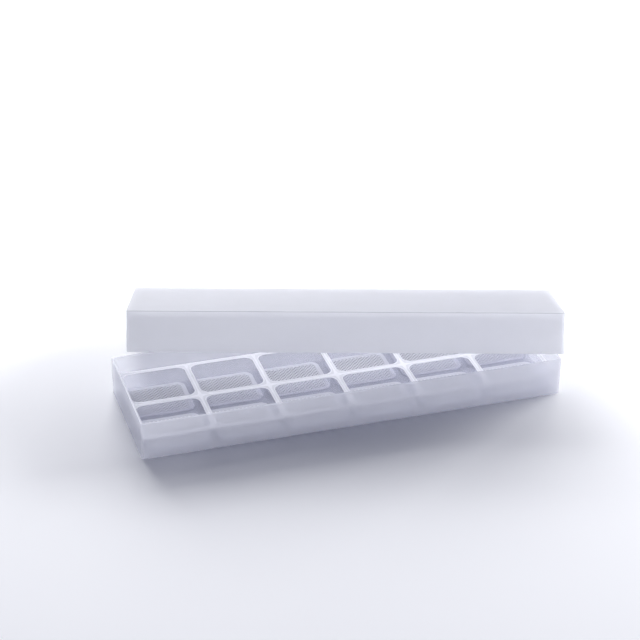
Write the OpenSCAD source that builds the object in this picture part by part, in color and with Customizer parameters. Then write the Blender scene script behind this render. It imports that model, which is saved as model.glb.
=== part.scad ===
// Humidity dome tray: a watertight base tray, a cell insert with twelve
// mesh-bottomed cells, and a deep cover that leans on the tray, taken off.
// Millimetres, +Z up, origin at the centre of the tray's underside, X along the tray.

/* [Cover] */
// Length of the cover outside
lid_len = 360; // [300:1:420]
// Width of the cover outside
lid_wid = 111; // [95:1:140]
// Height of the cover outside
lid_high = 34.4; // [30:0.2:50]
// Outside corner radius of the cover, seen from above
lid_corner_r = 2.4; // [1.5:0.1:8]

/* [Base tray] */
// Height of the tray outside
tray_high = 32.6; // [28:0.2:48]
// Outside corner radius of the tray, seen from above
tray_corner_r = 2.2; // [1:0.1:8]
// Thickness of the tray's floor
tray_floor = 1.5; // [1:0.1:3]

/* [Walls and gaps] */
// Wall thickness of the cover and the tray
wall = 1.9; // [1.2:0.1:2.4]
// Gap all round between the cover and the tray when it is closed
cover_gap = 0.4; // [0.2:0.05:1]
// Gap all round between the cell insert and the tray
insert_gap = 0.4; // [0.2:0.05:1]
// Gap between the tray's floor and the cell insert's underside
stand_gap = 0.3; // [0.2:0.05:1]

/* [Cell insert] */
// Cells along the tray
cols = 6; // [6]
// Cells across the tray
rows = 2; // [2]
// Height of the land on top of the insert, above the surface the tray stands on
land_z = 17.8; // [14:0.1:22]
// Thickness of the land
land_t = 1.3; // [0.8:0.1:2]
// Width of the land between two cells
rib_w = 5.2; // [4:0.1:8]
// Width of the land along the insert's outer edge
border_w = 3.8; // [3:0.1:6]
// Outside corner radius of the insert, seen from above
insert_corner_r = 4.6; // [2:0.1:8]
// Corner radius of a cell's mouth
cell_r = 7; // [3:0.5:10]
// Wall thickness of a cell
cell_wall = 1.1; // [0.8:0.1:1.4]
// Thickness of the ledge at the foot of a cell
ledge_t = 0.8; // [0.6:0.1:1.2]
// Width of the ledge that carries a cell's screen
ledge_w = 3.2; // [2:0.1:5]

/* [Screens] */
// Thickness of a cell's screen
screen_t = 0.8; // [0.6:0.1:1.2]
// Gap between a screen's edge and the cell's wall
screen_gap = 0.25; // [0.1:0.05:0.5]
// Width of the plain margin round a screen's mesh
margin_w = 3.6; // [2:0.1:6]
// Distance from one mesh opening to the next
mesh_pitch = 4.6; // [3.6:0.1:8]
// Width of a bar of the mesh
mesh_bar = 1.2; // [0.8:0.1:2]

/* [Where the cover leans] */
// Turn of the cover about the vertical
lean_yaw = -16.7; // [-25:0.1:-10]
// Tilt of the cover, front edge up and back edge on the surface
lean_tilt = 19.2; // [17.6:0.1:25]
// Place of the middle of the cover's front rim along X
lean_x = 7.3; // [0:0.1:15]
// Place of the middle of the cover's front rim along Y
lean_y = 0.1; // [-4:0.1:4]

/* [Hidden] */
$fn = 48;

tray_len = lid_len - 2 * (wall + cover_gap);
tray_wid = lid_wid - 2 * (wall + cover_gap);
insert_len = tray_len - 2 * (wall + insert_gap);
insert_wid = tray_wid - 2 * (wall + insert_gap);

cell_len = (insert_len - 2 * border_w - (cols - 1) * rib_w) / cols;
cell_wid = (insert_wid - 2 * border_w - (rows - 1) * rib_w) / rows;
foot_z = tray_floor + stand_gap;
screen_z = foot_z + ledge_t;

// Radius of the hollow in a shell whose outside corner radius is r
function hollow_r(r) = max(r - wall, 0.3);

function cell_x(c) = (c - (cols - 1) / 2) * (cell_len + rib_w);
function cell_y(r) = (r - (rows - 1) / 2) * (cell_wid + rib_w);

// Outline of a rectangle with round corners, centred
module round_rect(len, wid, r) {
    union() {
        square([len - 2 * r, wid], center = true);
        square([len, wid - 2 * r], center = true);
        for (sx = [-1, 1], sy = [-1, 1])
            translate([sx * (len / 2 - r), sy * (wid / 2 - r)])
                circle(r = r);
    }
}

// A block standing on z = 0 with round upright corners
module round_block(len, wid, high, r) {
    linear_extrude(height = high) round_rect(len, wid, r);
}

// The open watertight tray
module base_tray() {
    color([0.72, 0.73, 0.79])
        difference() {
            round_block(tray_len, tray_wid, tray_high, tray_corner_r);
            translate([0, 0, tray_floor])
                round_block(
                    tray_len - 2 * wall, tray_wid - 2 * wall,
                    tray_high, hollow_r(tray_corner_r)
                );
        }
}

// Everything that the twelve cells take out of the insert
module cell_hollow(c, r) {
    translate([cell_x(c), cell_y(r), screen_z])
        round_block(cell_len, cell_wid, land_z, cell_r);
    translate([cell_x(c), cell_y(r), foot_z - 1])
        round_block(
            cell_len - 2 * ledge_w, cell_wid - 2 * ledge_w,
            ledge_t + 2, cell_r - ledge_w
        );
}

// The land with its twelve hanging cells, moulded in one piece
module cell_insert() {
    color([0.86, 0.87, 0.92])
        difference() {
            union() {
                translate([0, 0, land_z - land_t])
                    round_block(insert_len, insert_wid, land_t, insert_corner_r);
                for (c = [0 : cols - 1], r = [0 : rows - 1])
                    translate([cell_x(c), cell_y(r), foot_z])
                        round_block(
                            cell_len + 2 * cell_wall, cell_wid + 2 * cell_wall,
                            land_z - land_t / 2 - foot_z, cell_r + cell_wall
                        );
            }
            for (c = [0 : cols - 1], r = [0 : rows - 1])
                cell_hollow(c, r);
        }
}

// A mesh screen lying on the ledge of the cell in column c (from 1) and row r (0 in front)
module screen(c, r) {
    len = cell_len - 2 * screen_gap;
    wid = cell_wid - 2 * screen_gap;
    nx = floor((len - 2 * margin_w + mesh_bar) / mesh_pitch);
    ny = floor((wid - 2 * margin_w + mesh_bar) / mesh_pitch);
    hole = mesh_pitch - mesh_bar;
    color([0.80, 0.81, 0.87])
        translate([cell_x(c - 1), cell_y(r), screen_z])
            linear_extrude(height = screen_t)
                difference() {
                    round_rect(len, wid, cell_r - screen_gap);
                    for (i = [0 : nx - 1], j = [0 : ny - 1])
                        translate([
                            (i - (nx - 1) / 2) * mesh_pitch,
                            (j - (ny - 1) / 2) * mesh_pitch
                        ])
                            square(hole, center = true);
                }
}

// The cover on its own, open side down, front rim's outer edge along y = 0
module cover_shell() {
    translate([0, lid_wid / 2, 0])
        difference() {
            round_block(lid_len, lid_wid, lid_high, lid_corner_r);
            translate([0, 0, -1])
                round_block(
                    lid_len - 2 * wall, lid_wid - 2 * wall,
                    lid_high - wall + 1, hollow_r(lid_corner_r)
                );
        }
}

// The cover leaning over the tray: its back rim stands on the surface behind
module cover() {
    color([0.78, 0.79, 0.84])
        translate([lean_x, lean_y, lid_wid * sin(lean_tilt)])
            rotate([0, 0, lean_yaw])
                rotate([-lean_tilt, 0, 0])
                    cover_shell();
}

base_tray();
cell_insert();
cover();
for (c = [1 : cols]) {
    screen(c, 0);
    screen(c, 1);
}
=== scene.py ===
import math

import bmesh
import bpy
from mathutils import Matrix, Vector


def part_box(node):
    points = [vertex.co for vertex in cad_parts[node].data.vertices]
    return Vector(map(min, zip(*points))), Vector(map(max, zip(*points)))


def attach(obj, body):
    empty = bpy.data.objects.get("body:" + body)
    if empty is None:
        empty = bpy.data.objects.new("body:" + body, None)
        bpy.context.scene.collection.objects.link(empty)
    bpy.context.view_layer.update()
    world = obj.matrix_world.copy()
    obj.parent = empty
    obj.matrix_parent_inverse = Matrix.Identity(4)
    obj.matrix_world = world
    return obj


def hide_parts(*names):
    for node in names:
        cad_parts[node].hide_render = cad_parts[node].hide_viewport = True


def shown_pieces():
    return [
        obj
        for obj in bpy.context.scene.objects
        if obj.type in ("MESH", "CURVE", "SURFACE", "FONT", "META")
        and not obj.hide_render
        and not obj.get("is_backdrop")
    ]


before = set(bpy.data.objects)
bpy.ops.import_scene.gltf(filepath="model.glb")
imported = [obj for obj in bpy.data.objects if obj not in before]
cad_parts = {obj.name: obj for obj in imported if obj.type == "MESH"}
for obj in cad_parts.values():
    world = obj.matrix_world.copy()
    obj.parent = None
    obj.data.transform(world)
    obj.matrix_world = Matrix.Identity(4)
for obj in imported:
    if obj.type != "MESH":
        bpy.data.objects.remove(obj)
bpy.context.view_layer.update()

MM = 0.001

# ---------------------------------------------------------------- sizes, millimetres
# The boxes of the CAD nodes give the lengths. What a box can't give is repeated here.
WALL = 1.9  # tray and cover walls
FLOOR = 1.5  # tray floor
TRAY_R = 2.2  # outside corner radius of the tray, seen from above
COVER_SIZE = (360.0, 111.0, 34.4)
COVER_R = 2.4  # outside corner radius of the cover, seen from above
COVER_YAW = -16.7  # degrees
COVER_TILT = 19.2  # degrees
COVER_FRONT = (7.3, 0.1)  # middle of the cover's front rim
ROWS = ("front", "back")
COLUMNS = 6
RIB = 5.2  # land between two cells
BORDER = 3.8  # land along the insert's outer edge
LAND_T = 1.3  # thickness of the land
INSERT_R = 4.6  # outside corner radius of the insert, seen from above
CELL_R = 7.0  # corner radius of a cell's mouth
CELL_WALL = 1.1
LEDGE_W = 3.2
LEDGE_T = 0.8
SCREEN_GAP = 0.25  # from a screen's edge to the cell's wall
SCREEN_MARGIN = 3.6  # plain margin round the fine mesh

# Small shapes that the CAD leaves out
RIM_R = 0.4  # rounding of the tray's and the cover's rims, and of the tray's foot
TRAY_INSIDE_R = 1.2  # rounding between the tray's floor and its walls
COVER_EDGE_R = 0.5  # rounding between the cover's top and its walls
COVER_INSIDE_R = 0.8  # the same, inside the cover
LIP = ((0.0, -0.5), (0.12, -0.15), (0.3, 0.0), (0.8, 0.0), (1.2, -0.5))  # from an edge, height
SCREEN_SOFT = 0.12  # chamfer of a screen's margin
SCREEN_LIFT = 0.02  # keeps a screen clear of its ledge
STRAND_PITCH = 2.3  # from one strand of the fine mesh to the next
STRAND_W = 0.65
STRAND_SHORTEST = 1.5  # a strand shorter than this along X is left out
STRAND_INSET = 0.4  # how far the strands' ends are sunk in the margin

CORNER_STEPS = 12  # steps round a quarter turn seen from above
ROUND_STEPS = 4  # steps round a small rounding
SHARP = 40  # edges sharper than this many degrees aren't smoothed


def extent(node):
    """Centre and size of a CAD node's box, in millimetres."""
    lo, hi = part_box(node)
    return (lo + hi) / 2 / MM, (hi - lo) / MM


# ---------------------------------------------------------------- mesh helpers
def rounded(half_x, half_y, r):
    """Points round a rectangle with round corners, counter-clockwise from its right side."""
    points = []
    for k, (sx, sy) in enumerate(((1, 1), (-1, 1), (-1, -1), (1, -1))):
        for i in range(CORNER_STEPS + 1):
            a = math.radians(90 * (k + i / CORNER_STEPS))
            points.append((
                sx * (half_x - r) + r * math.cos(a),
                sy * (half_y - r) + r * math.sin(a),
            ))
    return points


def add_ring(bm, points, z, centre=(0, 0)):
    """New vertices at the points, all at height z or at heights given one by one."""
    heights = z if isinstance(z, list) else [z] * len(points)
    return [
        bm.verts.new(((centre[0] + x) * MM, (centre[1] + y) * MM, h * MM))
        for (x, y), h in zip(points, heights)
    ]


def join_rings(bm, rings, mat=0):
    """Quads between each ring and the next, with material number mat."""
    for low, high in zip(rings, rings[1:]):
        for i in range(len(low)):
            j = (i + 1) % len(low)
            bm.faces.new((low[i], low[j], high[j], high[i])).material_index = mat


def finish_mesh(bm, name, materials):
    """Turns the bmesh into an object in the scene, smooth but for its sharp edges."""
    bmesh.ops.recalc_face_normals(bm, faces=bm.faces[:])
    for f in bm.faces:
        f.smooth = True
    mesh = bpy.data.meshes.new(name)
    bm.to_mesh(mesh)
    bm.free()
    for m in materials:
        mesh.materials.append(m)
    mesh.set_sharp_from_angle(angle=math.radians(SHARP))
    obj = bpy.data.objects.new(name, mesh)
    bpy.context.scene.collection.objects.link(obj)
    return obj


def shell(bm, size, r, profile, painted_shade_steps=0):
    """A closed shell lofted through (inset, height) steps, with a flat cap at each end. The
    last steps, as many as the last argument gives, get material 1: on the cover, painted shade."""
    least_r = 0.35  # no corner gets sharper than this
    rings = [
        add_ring(bm, rounded(size[0] / 2 - d, size[1] / 2 - d, max(r - d, least_r)), z)
        for d, z in profile
    ]
    split = len(rings) - painted_shade_steps
    join_rings(bm, rings[:split])
    join_rings(bm, rings[split - 1:], 1)
    bm.faces.new(rings[0])
    bm.faces.new(list(reversed(rings[-1])))


def fillet(inset, z, d_inset, d_z, flat_first=False):
    """Steps of a quarter round from (inset, z) to a point d_inset and d_z away. It starts
    along z, or along the inset if flat_first."""
    out = []
    for i in range(1, ROUND_STEPS + 1):
        a = math.pi / 2 * i / ROUND_STEPS
        u, v = 1 - math.cos(a), math.sin(a)
        if flat_first:
            u, v = v, u
        out.append((inset + d_inset * u, z + d_z * v))
    return out


# ---------------------------------------------------------------- materials
CLOUD_SCALE = 28.0  # slow unevenness of the plastic, per metre
GRAIN_SCALE = 2600.0  # texture of its skin
GRAIN_DEPTH = 0.00012
PLASTIC_IOR = 1.49
CLEAR = (0.987, 0.988, 1.0, 1)  # tint of what shows through


def node(tree, kind, **inputs):
    """A shader node with the given inputs set, _ standing for a space in a name."""
    n = tree.nodes.new(kind)
    for key, value in inputs.items():
        n.inputs[key.replace("_", " ")].default_value = value
    return n


def noise(tree, where, scale, detail):
    """Noise over the object's own coordinates."""
    n = node(tree, "ShaderNodeTexNoise", Scale=scale, Detail=detail)
    tree.links.new(where.outputs["Object"], n.inputs["Vector"])
    return n.outputs["Fac"]


def spread(tree, value, low, high):
    """value, which runs from about 0.3 to 0.7, spread from low to high."""
    n = node(tree, "ShaderNodeMapRange")
    for i, v in enumerate((0.3, 0.7, low, high)):
        n.inputs[i + 1].default_value = v
    tree.links.new(value, n.inputs[0])
    return n.outputs[0]


def frosted(name, light, dark, see, glow, rough, grain):
    """Frosted polypropylene, from light to dark. see is the share that shows what is behind,
    glow the share of the rest that is lit through."""
    material = bpy.data.materials.new(name)
    material.use_nodes = True
    tree = material.node_tree
    tree.nodes.clear()
    where = tree.nodes.new("ShaderNodeTexCoord")
    cloud = noise(tree, where, CLOUD_SCALE, 4.0)
    fine = noise(tree, where, GRAIN_SCALE, 2.0)
    colour = node(tree, "ShaderNodeMix")
    colour.data_type = "RGBA"
    tree.links.new(spread(tree, cloud, 0.0, 1.0), colour.inputs[0])
    colour.inputs[6].default_value = (*dark, 1)
    colour.inputs[7].default_value = (*light, 1)
    bump = node(tree, "ShaderNodeBump", Strength=grain, Distance=GRAIN_DEPTH)
    tree.links.new(fine, bump.inputs["Height"])
    skin = tree.nodes.new("ShaderNodeBsdfPrincipled")
    skin.inputs["IOR"].default_value = PLASTIC_IOR
    tree.links.new(colour.outputs[2], skin.inputs["Base Color"])
    tree.links.new(spread(tree, fine, rough - 0.06, rough + 0.06), skin.inputs["Roughness"])
    tree.links.new(bump.outputs[0], skin.inputs["Normal"])
    lit = tree.nodes.new("ShaderNodeBsdfTranslucent")
    tree.links.new(colour.outputs[2], lit.inputs["Color"])
    body = node(tree, "ShaderNodeMixShader")
    body.inputs[0].default_value = glow
    tree.links.new(skin.outputs[0], body.inputs[1])
    tree.links.new(lit.outputs[0], body.inputs[2])
    clear = node(tree, "ShaderNodeBsdfTransparent", Color=CLEAR)
    mix = tree.nodes.new("ShaderNodeMixShader")
    tree.links.new(spread(tree, cloud, see - 0.02, see + 0.02), mix.inputs[0])
    tree.links.new(body.outputs[0], mix.inputs[1])
    tree.links.new(clear.outputs[0], mix.inputs[2])
    out = tree.nodes.new("ShaderNodeOutputMaterial")
    tree.links.new(mix.outputs[0], out.inputs["Surface"])
    return material


tray_plastic = frosted(
    "tray_frosted", (0.71, 0.715, 0.745), (0.69, 0.695, 0.73),
    see=0.6, glow=0.3, rough=0.42, grain=0.25,
)
cover_plastic = frosted(
    "cover_frosted", (0.74, 0.742, 0.755), (0.725, 0.728, 0.745),
    see=0.1, glow=0.66, rough=0.5, grain=0.3,
)
# Painted shade: a darker copy of the cover's plastic for the rounding along its top edge,
# standing in for the thin dark line that light makes there.
painted_shade_edge_plastic = frosted(
    "cover_edge_painted_shade", (0.52, 0.522, 0.535), (0.50, 0.502, 0.515),
    see=0.05, glow=0.6, rough=0.5, grain=0.1,
)
clear_plastic = frosted(
    "insert_outside", (0.95, 0.952, 0.96), (0.94, 0.942, 0.95),
    see=0.95, glow=0.5, rough=0.2, grain=0.05,
)
land_plastic = frosted(
    "insert_land", (0.88, 0.88, 0.893), (0.87, 0.87, 0.884),
    see=0.1, glow=0.15, rough=0.3, grain=0.15,
)
well_plastic = frosted(
    "insert_well", (0.94, 0.942, 0.95), (0.93, 0.932, 0.942),
    see=0.85, glow=0.5, rough=0.3, grain=0.15,
)
web_plastic = frosted(
    "insert_web", (0.95, 0.95, 0.96), (0.94, 0.94, 0.95),
    see=0.3, glow=0.3, rough=0.3, grain=0.15,
)
net_plastic = frosted(
    "screen_net", (0.82, 0.82, 0.832), (0.80, 0.80, 0.815),
    see=0.15, glow=0.2, rough=0.35, grain=0.1,
)
margin_plastic = frosted(
    "screen_margin", (0.90, 0.90, 0.91), (0.88, 0.88, 0.895),
    see=0.5, glow=0.3, rough=0.3, grain=0.1,
)


# ---------------------------------------------------------------- base tray
def build_tray():
    """The open tray: up the outside, over the rim and down to the floor inside."""
    _, size = extent("base_tray")
    high = size.z
    well = FLOOR + TRAY_INSIDE_R
    profile = [(RIM_R, 0.0)]
    profile += fillet(RIM_R, 0.0, -RIM_R, RIM_R, flat_first=True)
    profile += [(0.0, high - RIM_R)]
    profile += fillet(0.0, high - RIM_R, RIM_R, RIM_R)
    profile += [(WALL - RIM_R, high)]
    profile += fillet(WALL - RIM_R, high, RIM_R, -RIM_R, flat_first=True)
    profile += [(WALL, well)]
    profile += fillet(WALL, well, TRAY_INSIDE_R, -TRAY_INSIDE_R)
    bm = bmesh.new()
    shell(bm, size, TRAY_R, profile)
    obj = finish_mesh(bm, "tray_shell", [tray_plastic])
    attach(obj, "tray")
    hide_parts("base_tray")


# ---------------------------------------------------------------- cover
def build_cover():
    """The leaning cover: from the ceiling down the inside, round the rim and up to the top."""
    length, width, high = COVER_SIZE
    inside = WALL + COVER_INSIDE_R
    profile = [(inside, high - WALL)]
    profile += fillet(inside, high - WALL, -COVER_INSIDE_R, -COVER_INSIDE_R, flat_first=True)
    profile += [(WALL, RIM_R)]
    profile += fillet(WALL, RIM_R, -RIM_R, -RIM_R)
    profile += [(RIM_R, 0.0)]
    profile += fillet(RIM_R, 0.0, -RIM_R, RIM_R, flat_first=True)
    profile += [(0.0, high - COVER_EDGE_R)]
    top_edge = fillet(0.0, high - COVER_EDGE_R, COVER_EDGE_R, COVER_EDGE_R)
    bm = bmesh.new()
    # The top edge's rounding gets material 1, the darker plastic that paints shade along it.
    shell(bm, (length, width), COVER_R, profile + top_edge, len(top_edge))
    tilt = math.radians(COVER_TILT)
    lean = (
        Matrix.Translation(Vector((*COVER_FRONT, width * math.sin(tilt))) * MM)
        @ Matrix.Rotation(math.radians(COVER_YAW), 4, "Z")
        @ Matrix.Rotation(-tilt, 4, "X")
        @ Matrix.Translation((0, width / 2 * MM, 0))
    )
    bm.transform(lean)
    obj = finish_mesh(bm, "cover_shell", [cover_plastic, painted_shade_edge_plastic])
    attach(obj, "cover")
    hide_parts("cover")


# ---------------------------------------------------------------- cell insert
LAND, WELL, WEB, OUTSIDE = range(4)  # places in the list that follows
INSERT_MATERIALS = [land_plastic, well_plastic, web_plastic, clear_plastic]


def inside_depth(x, y, half_x, half_y, r):
    """How far (x, y) is inside a rectangle with round corners; negative outside."""
    qx, qy = abs(x) - (half_x - r), abs(y) - (half_y - r)
    return r - math.hypot(max(qx, 0), max(qy, 0)) - min(max(qx, qy), 0)


def lip_height(d):
    """Height of the land d from its nearest edge, below the top of its lips."""
    for (a, ha), (b, hb) in zip(LIP, LIP[1:]):
        if d <= b:
            return ha + (hb - ha) * max(0.0, (d - a) / (b - a))
    return LIP[-1][1]


def tile_edge(hx, hy, sides):
    """The tile's edge opposite each point of rounded(hx, hy, CELL_R). sides are the land's
    widths to +x, +y, -x and -y, and a corner between two outer sides is round."""
    points = []
    for k, (sx, sy) in enumerate(((1, 1), (-1, 1), (-1, -1), (1, -1))):
        mx, my = sides[0 if sx > 0 else 2], sides[1 if sy > 0 else 3]
        cx, cy = hx + mx, hy + my
        start, end = hy - CELL_R, hx - CELL_R  # where the corner begins on each side
        path = []
        if mx == BORDER and my == BORDER:
            ox, oy = cx - INSERT_R, cy - INSERT_R
            q = CORNER_STEPS // 4
            path += [(cx, start + (oy - start) * i / q) for i in range(q)]
            for i in range(CORNER_STEPS - 2 * q + 1):
                a = math.pi / 2 * i / (CORNER_STEPS - 2 * q)
                path.append((ox + INSERT_R * math.cos(a), oy + INSERT_R * math.sin(a)))
            path += [(ox + (end - ox) * i / q, cy) for i in range(1, q + 1)]
        else:
            h = CORNER_STEPS // 2
            path += [(cx, start + (cy - start) * i / h) for i in range(h)]
            path += [(cx + (end - cx) * i / h, cy) for i in range(h + 1)]
        if k % 2:
            path.reverse()
        points += [(sx * x, sy * y) for x, y in path]
    return points


def add_cell(bm, mid, half_size, sides, insert_half, top, foot):
    """One cell with the land round it. half_size is half the cell's mouth."""
    hx, hy = half_size
    under = top - LAND_T

    def mouth(d):
        return rounded(hx + d, hy + d, CELL_R + d)

    def land_height(p):
        to_outer = inside_depth(mid.x + p[0], mid.y + p[1], *insert_half, INSERT_R)
        to_mouth = -inside_depth(*p, hx, hy, CELL_R)
        return top + lip_height(min(to_outer, to_mouth))

    def land_ring(points):
        return add_ring(bm, points, [land_height(p) for p in points], mid)

    edge = tile_edge(hx, hy, sides)
    last = mouth(LIP[-1][0])
    reach = BORDER - LIP[-1][0]
    rings = []
    for back in (d for d, _ in LIP):
        t = 1 - back / reach
        rings.append(land_ring([
            (a[0] + (b[0] - a[0]) * t, a[1] + (b[1] - a[1]) * t) for a, b in zip(last, edge)
        ]))
    outer = len(rings)
    rings += [land_ring(mouth(d)) for d, _ in reversed(LIP)]
    join_rings(bm, rings[:outer], LAND)
    join_rings(bm, rings[outer - 1:outer + 1], WEB)
    join_rings(bm, rings[outer:], LAND)

    # How far outside the mouth, and at what height: down in the cell, then up outside it
    ledge = foot + LEDGE_T - SCREEN_LIFT
    inside = (
        (-0.05, top - 1.0), (-0.15, foot + LEDGE_T + 1.2), (-0.15, ledge),
        (-LEDGE_W, ledge), (-LEDGE_W, foot + 0.15),
    )
    outside = (
        (-LEDGE_W + 0.15, foot), (CELL_WALL - 0.6, foot), (CELL_WALL - 0.25, foot + 0.1),
        (CELL_WALL - 0.1, foot + 0.4), (CELL_WALL - 0.05, under - 0.8),
        (CELL_WALL + 0.1, under - 0.3), (CELL_WALL + 0.5, under),
    )
    well = [rings[-1]] + [add_ring(bm, mouth(d), z, mid) for d, z in inside + outside]
    turn = len(inside)
    join_rings(bm, well[:turn + 1], WELL)
    join_rings(bm, well[turn:], OUTSIDE)
    join_rings(bm, [well[-1], add_ring(bm, edge, under, mid)], LAND)


def build_insert():
    """The insert: twelve cells with their share of the land, joined to one closed mesh."""
    centre, size = extent("cell_insert")
    top = centre.z + size.z / 2
    foot = centre.z - size.z / 2
    bm = bmesh.new()
    for side in ROWS:
        for col in range(COLUMNS):
            mid, net = extent(f"screen_{side}_{col + 1}")
            half_size = (net.x / 2 + SCREEN_GAP, net.y / 2 + SCREEN_GAP)
            sides = (
                BORDER if col == COLUMNS - 1 else RIB / 2, BORDER if side == "back" else RIB / 2,
                BORDER if col == 0 else RIB / 2, BORDER if side == "front" else RIB / 2,
            )
            add_cell(bm, mid, half_size, sides, (size.x / 2, size.y / 2), top, foot)
    bmesh.ops.remove_doubles(bm, verts=bm.verts[:], dist=0.00001)
    open_edges = [e for e in bm.edges if len(e.link_faces) == 1]
    bmesh.ops.bridge_loops(bm, edges=open_edges)
    obj = finish_mesh(bm, "insert_moulding", INSERT_MATERIALS)
    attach(obj, "insert")
    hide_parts("cell_insert")


# ---------------------------------------------------------------- screens
def add_bar(bm, a, b, width, low, high):
    """A strand from a to b with chamfered edges, in millimetres."""
    along = Vector((b[0] - a[0], b[1] - a[1], 0)).normalized()
    across = Vector((-along.y, along.x, 0)) * width / 2
    rise = (high - low) * 0.3
    section = (
        (-1.0, low + rise), (-0.6, low), (0.6, low), (1.0, low + rise),
        (1.0, high - rise), (0.6, high), (-0.6, high), (-1.0, high - rise),
    )
    ends = [
        [bm.verts.new((Vector((p[0], p[1], z)) + across * s) * MM) for s, z in section]
        for p in (a, b)
    ]
    n = len(section)
    for i in range(n):
        bm.faces.new((ends[0][i], ends[0][(i + 1) % n], ends[1][(i + 1) % n], ends[1][i]))
    bm.faces.new(list(reversed(ends[0])))
    bm.faces.new(ends[1])


def build_screen(name):
    """A screen: its plain margin, and two layers of strands that cross at right angles."""
    mid, size = extent(name)
    low, high = mid.z - size.z / 2 + SCREEN_LIFT, mid.z + size.z / 2
    hx, hy = size.x / 2, size.y / 2
    r = CELL_R - SCREEN_GAP
    bm = bmesh.new()
    soft, margin = SCREEN_SOFT, SCREEN_MARGIN
    steps = (
        (0.0, low + soft), (0.0, high - soft), (soft, high), (margin - soft, high),
        (margin, high - soft), (margin, low + soft), (margin - soft, low), (soft, low),
    )
    rings = [add_ring(bm, rounded(hx - d, hy - d, r - d), z, mid) for d, z in steps]
    join_rings(bm, rings + rings[:1], 1)
    wx, wy = hx - margin + STRAND_INSET, hy - margin + STRAND_INSET
    step = STRAND_PITCH * math.sqrt(2)
    count = int((wx + wy) / step)
    thick = (high - low) * 0.55
    sunk = 0.05  # from the margin's faces to the strands
    for slope, z in ((1, low + sunk), (-1, high - sunk - thick)):
        for k in range(-count, count + 1):
            # the line y = slope * (x - k * step), cut off at the window's sides
            c = k * step
            x0, x1 = sorted((c - slope * wy, c + slope * wy))
            x0, x1 = max(x0, -wx), min(x1, wx)
            if x1 - x0 < STRAND_SHORTEST:
                continue
            ends = [(mid.x + x, mid.y + slope * (x - c)) for x in (x0, x1)]
            add_bar(bm, *ends, STRAND_W, z, z + thick)
    obj = finish_mesh(bm, name.replace("screen", "net"), [net_plastic, margin_plastic])
    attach(obj, "insert")
    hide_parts(name)


build_tray()
build_cover()
build_insert()
for side in ROWS:
    for number in range(1, COLUMNS + 1):
        build_screen(f"screen_{side}_{number}")


# ---------------------------------------------------------------- floor
def build_floor():
    """A wide sheet of pale paper, so that its far edge is out of view."""
    bm = bmesh.new()
    half, at = 12.0, Vector((0.0, 0.6, -0.0002))  # metres, just under the tray
    corners = ((-half, -half), (half, -half), (half, half), (-half, half))
    bm.faces.new([bm.verts.new(at + Vector((x, y, 0))) for x, y in corners])
    paper = bpy.data.materials.new("pale_floor")
    paper.use_nodes = True
    skin = paper.node_tree.nodes["Principled BSDF"]
    skin.inputs["Base Color"].default_value = (0.92, 0.92, 0.925, 1)
    skin.inputs["Roughness"].default_value = 0.6
    skin.inputs["Specular IOR Level"].default_value = 0.2
    obj = finish_mesh(bm, "floor", [paper])
    obj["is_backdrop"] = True
    return obj


the_floor = build_floor()


# ---------------------------------------------------------------- light
def area(name, at, target, size, power, colour):
    """A rectangular lamp at a place, aimed at a target."""
    light = bpy.data.lights.new(name, "AREA")
    light.shape = "RECTANGLE"
    light.size, light.size_y = size
    light.energy = power
    light.color = colour
    obj = bpy.data.objects.new(name, light)
    bpy.context.scene.collection.objects.link(obj)
    obj.location = at
    obj.rotation_euler = (Vector(target) - Vector(at)).to_track_quat("-Z", "Y").to_euler()
    return obj


def group(name, pieces):
    """A collection of the given pieces, for the lights to choose from."""
    out = bpy.data.collections.new(name)
    for piece in pieces:
        out.objects.link(piece)
    return out


everything = list(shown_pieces())
cover = [piece for piece in everything if piece.name.startswith("cover")]
not_cover = [piece for piece in everything if piece not in cover]
shells = [piece for piece in everything if piece.name.endswith("_shell")]
floor_only = group("lit_floor", [the_floor])
not_insert = group("lit_shells", [the_floor, *shells])
WHITE = (0.98, 0.985, 1.0)
COOL = (0.93, 0.94, 1.0)

# An arc of softboxes behind the object: turn from +Y towards +X, height angle, watts, and the
# share of them that reaches more than the floor, kept low to hold back glare on the back walls.
SOFTBOXES = (
    ("back_high", 0.0, 30.0, 40, 1.0),
    ("back_low", 0.0, 15.0, 52, 0.5),
    ("back_right", 35.0, 18.0, 42, 0.6),
    ("right_low", 75.0, 15.0, 103, 0.35),
    ("back_left", -35.0, 15.0, 12, 0.5),
)
SOFTBOX_AWAY = 2.5
SOFTBOX_SIZE = (1.5, 0.8)
ORIGIN = (0.0, 0.0, 0.0)


def softbox(name, turn, rise, power, share):
    """A lamp behind the object, split in two where it gives the floor more than the rest."""
    turn, rise = math.radians(turn), math.radians(rise)
    level = math.cos(rise)
    at = Vector((math.sin(turn) * level, math.cos(turn) * level, math.sin(rise))) * SOFTBOX_AWAY
    panel = area(name, at, ORIGIN, SOFTBOX_SIZE, power * share, WHITE)
    panel.light_linking.receiver_collection = not_insert
    if share < 1:
        other = area(name + "_floor", at, ORIGIN, SOFTBOX_SIZE, power * (1 - share), WHITE)
        other.light_linking.receiver_collection = floor_only


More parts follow.
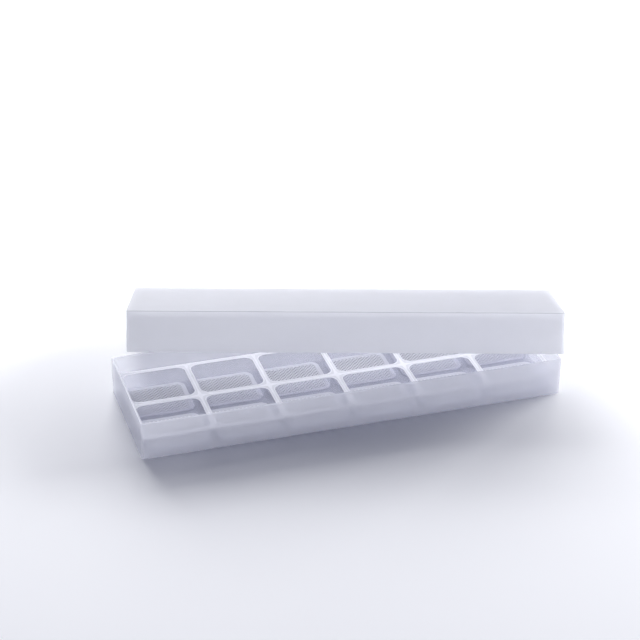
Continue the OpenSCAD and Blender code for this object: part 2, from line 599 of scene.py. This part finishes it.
def fill(name, pieces, *where):
    """A soft light that reaches the given pieces only, and is shaded by them only. where is
    its place, its target, its size and its watts."""
    lit = group("lit_by_" + name, pieces)
    links = area(name, *where, COOL).light_linking
    links.receiver_collection = lit
    links.blocker_collection = lit


for settings in SOFTBOXES:
    softbox(*settings)
fill("front_fill", everything, (1.15, -0.8, 0.35), (0.0, 0.0, 0.05), (0.9, 0.4), 13)
fill("left_fill", everything, (-1.8, 0.1, 0.5), (0.0, 0.0, 0.02), (1.2, 0.5), 8)
fill("top_fill", not_cover, (-0.5, -0.8, 1.5), ORIGIN, (1.2, 1.2), 22.5)
fill("back_fill", not_cover, (0.2, 2.1, 1.2), ORIGIN, (1.5, 0.8), 9)
fill("cover_fill", cover, (-0.1, -2.0, 0.3), (0.0, 0.0, 0.05), (1.6, 0.4), 41)
fill("cover_top_fill", cover, (-0.9, 0.7, 1.4), (0.0, 0.0, 0.05), (1.0, 1.0), 16)

world = bpy.data.worlds.new("studio")
world.use_nodes = True
sky = world.node_tree.nodes["Background"]
sky.inputs["Color"].default_value = (0.15, 0.25, 1.0, 1)
sky.inputs["Strength"].default_value = 0.07
bpy.context.scene.world = world
bpy.context.scene.view_settings.view_transform = "Standard"
bpy.context.scene.view_settings.look = "None"
cycles = bpy.context.scene.cycles  # light has many thin walls to go through
cycles.max_bounces = 24
cycles.diffuse_bounces = 12
cycles.transmission_bounces = 16
cycles.transparent_max_bounces = 32

# ---------------------------------------------------------------- camera
CAMERA_AT = (-0.46727, -1.40061, 0.91887)
CAMERA_TURN = -17.885  # degrees about the vertical
CAMERA_DOWN = 29.93  # degrees below level
CAMERA_ROLL = 0.903
camera = bpy.data.cameras.new("camera")
camera.sensor_width = 36.0
camera.lens = 117.8
camera.clip_start = 0.05
camera_obj = bpy.data.objects.new("camera", camera)
bpy.context.scene.collection.objects.link(camera_obj)
camera_obj.matrix_world = (
    Matrix.Translation(CAMERA_AT)
    @ Matrix.Rotation(math.radians(CAMERA_TURN), 4, "Z")
    @ Matrix.Rotation(math.radians(90 - CAMERA_DOWN), 4, "X")
    @ Matrix.Rotation(math.radians(CAMERA_ROLL), 4, "Z")
)
bpy.context.scene.camera = camera_obj
